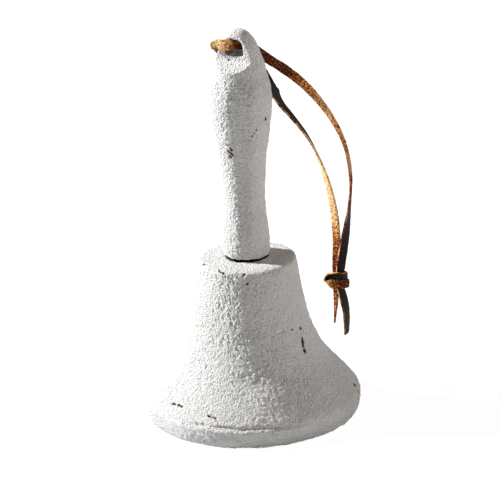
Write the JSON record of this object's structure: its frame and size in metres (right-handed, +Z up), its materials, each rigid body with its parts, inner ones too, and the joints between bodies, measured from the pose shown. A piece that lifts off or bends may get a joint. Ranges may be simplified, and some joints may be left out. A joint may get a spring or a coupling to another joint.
{
  "type": "hand bell",
  "caption": "Hand-held dinner bell in painted cast iron with a flared mouth, a turned handle, a hung clapper and a knotted leather lace.",
  "frame": {"origin": "centre of the bell's mouth, on the surface that the bell stands on", "axes": "+Z up along the bell and handle; +Y along the window through the head of the handle; +X across the window"},
  "size_m": [0.1022, 0.1022, 0.1863],
  "materials": {
    "painted_iron": "thick matte white paint over rough sand-cast iron, chipped at the edges",
    "steel": "dull zinc-plated and forged steel",
    "bare_iron": "dark bare cast iron",
    "leather": "flat lace, smooth dark brown on one side and orange-tan suede on the other"
  },
  "bodies": {
    "bell": {"bell_body": "painted_iron", "handle": "painted_iron", "eye_bolt": "steel", "crown_washer": "steel", "lock_washer": "steel", "crown_nut": "steel", "lace_out": "leather", "lace_back": "leather", "lace_knot": "leather"},
    "link": {"clapper_link": "steel"},
    "clapper": {"clapper_rod": "steel", "clapper_ball": "bare_iron"}
  },
  "joints": [
    {"name": "link_swing", "type": "hinge", "parent": "bell", "child": "link", "pos_m": [0, 0, 0.0488], "axis": [1, 0, 0], "range_deg": [-35, 35]},
    {"name": "clapper_swing", "type": "hinge", "parent": "link", "child": "clapper", "pos_m": [0, 0, 0.03805], "axis": [0, 1, 0], "range_deg": [-15, 15]}
  ]
}
